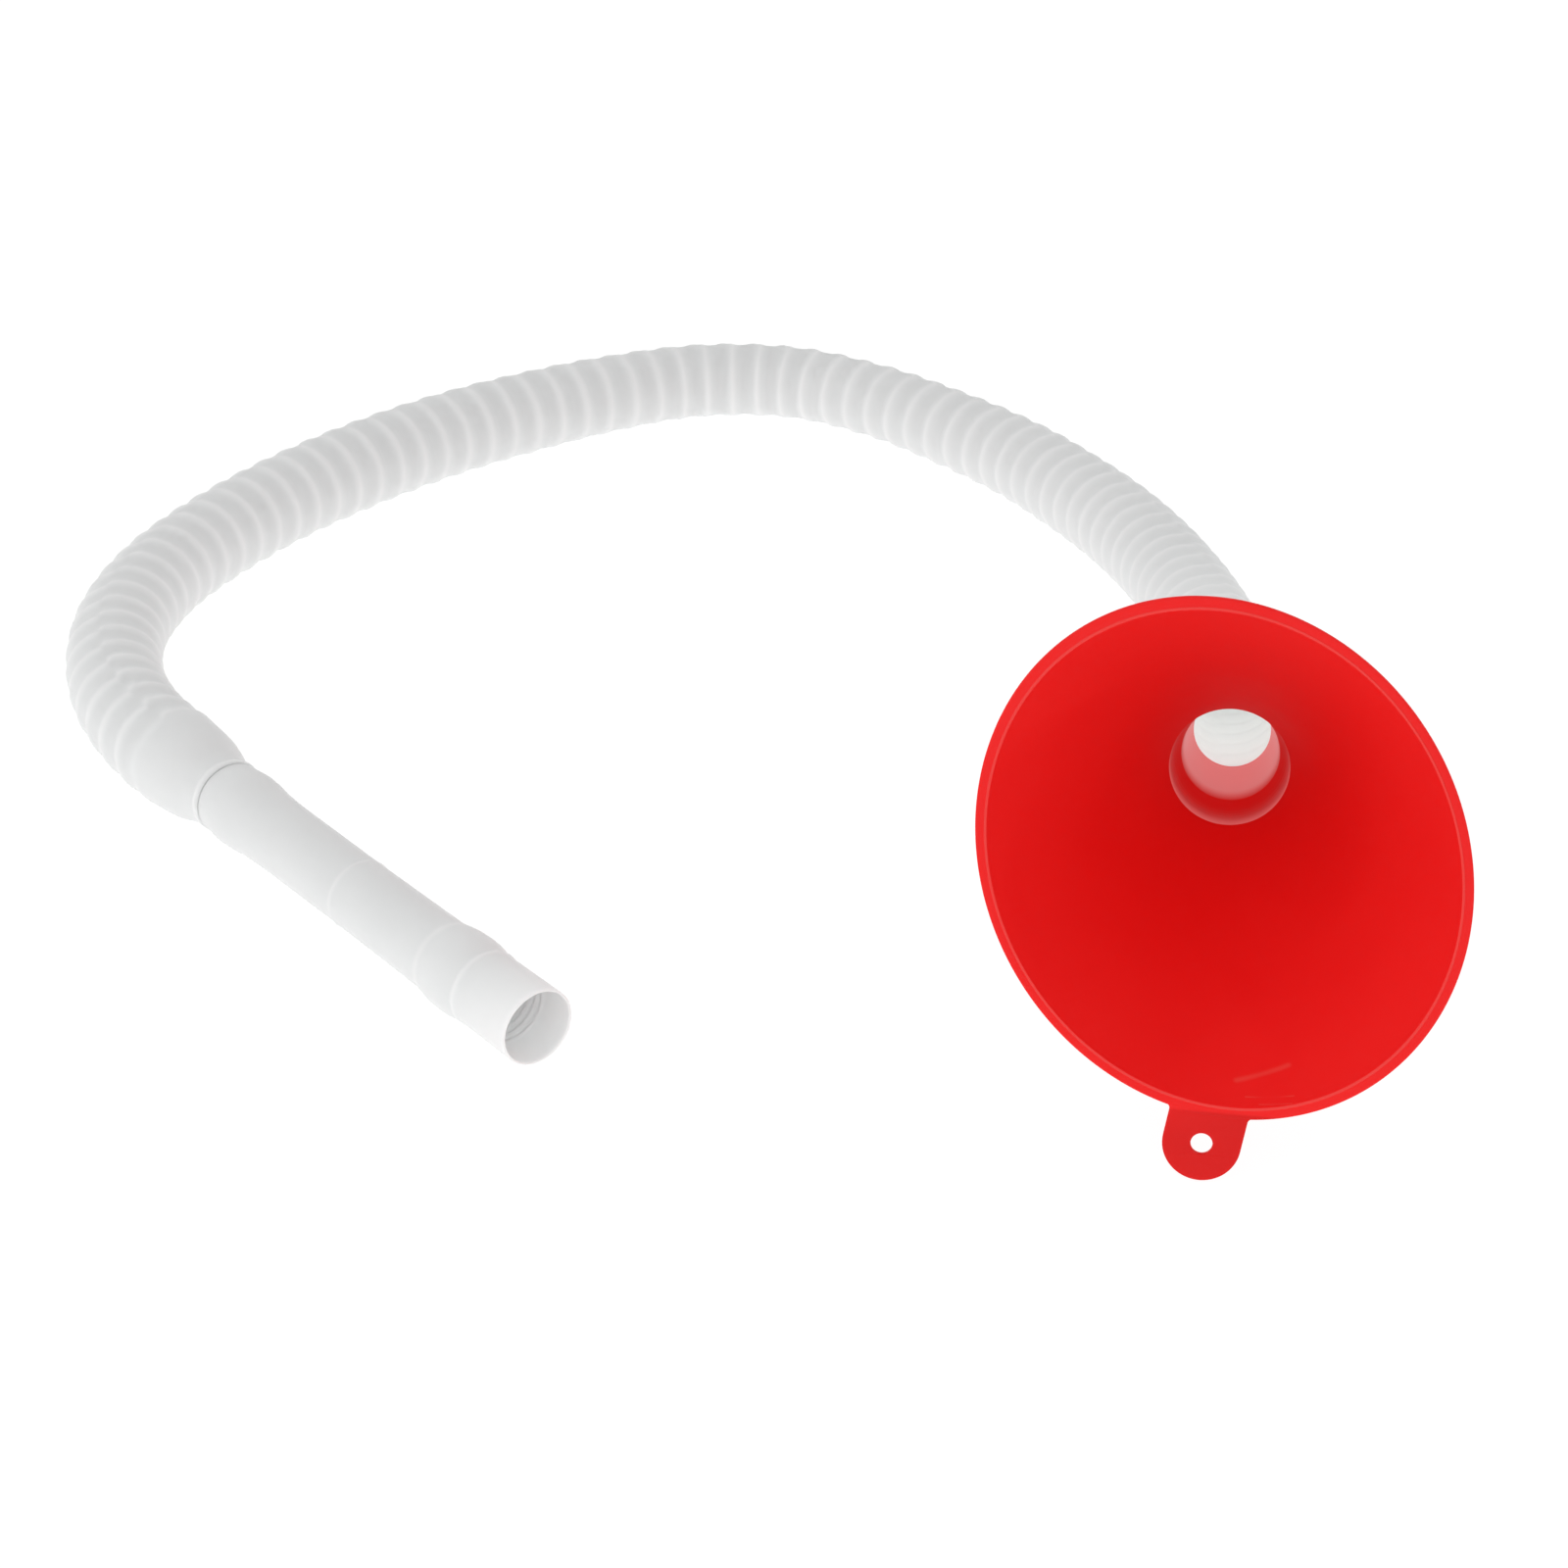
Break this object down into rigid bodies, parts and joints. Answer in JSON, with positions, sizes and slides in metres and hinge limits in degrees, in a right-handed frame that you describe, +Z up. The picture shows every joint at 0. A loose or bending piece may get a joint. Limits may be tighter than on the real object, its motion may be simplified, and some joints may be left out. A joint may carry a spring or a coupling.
{
  "type": "long spout funnel",
  "caption": "Moulded pouring funnel with a hanging tab, its neck pushed into a long corrugated hose that ends in a stepped plain outlet.",
  "frame": {"origin": "on the floor under the middle of the bowl, which stands on its tab with its mouth forward", "axes": "+Z up, +Y from the bowl's mouth towards its neck, +X to the right seen from the mouth; the hose loops round to -X"},
  "size_m": [0.4152, 0.4728, 0.1381],
  "materials": {
    "red_plastic": "satin moulded polyethylene",
    "milky_plastic": "milky translucent blow-moulded polyethylene"
  },
  "bodies": {
    "hose": {"hose_corrugated": "milky_plastic", "hose_inlet_cuff": "milky_plastic", "hose_outlet": "milky_plastic"},
    "bowl": {"funnel_bowl": "red_plastic"}
  },
  "joints": [
    {"name": "bowl_pull_off", "type": "slide", "parent": "hose", "child": "bowl", "axis": [0, -0.9748, 0.2233], "range_m": [0, 0.04]}
  ]
}
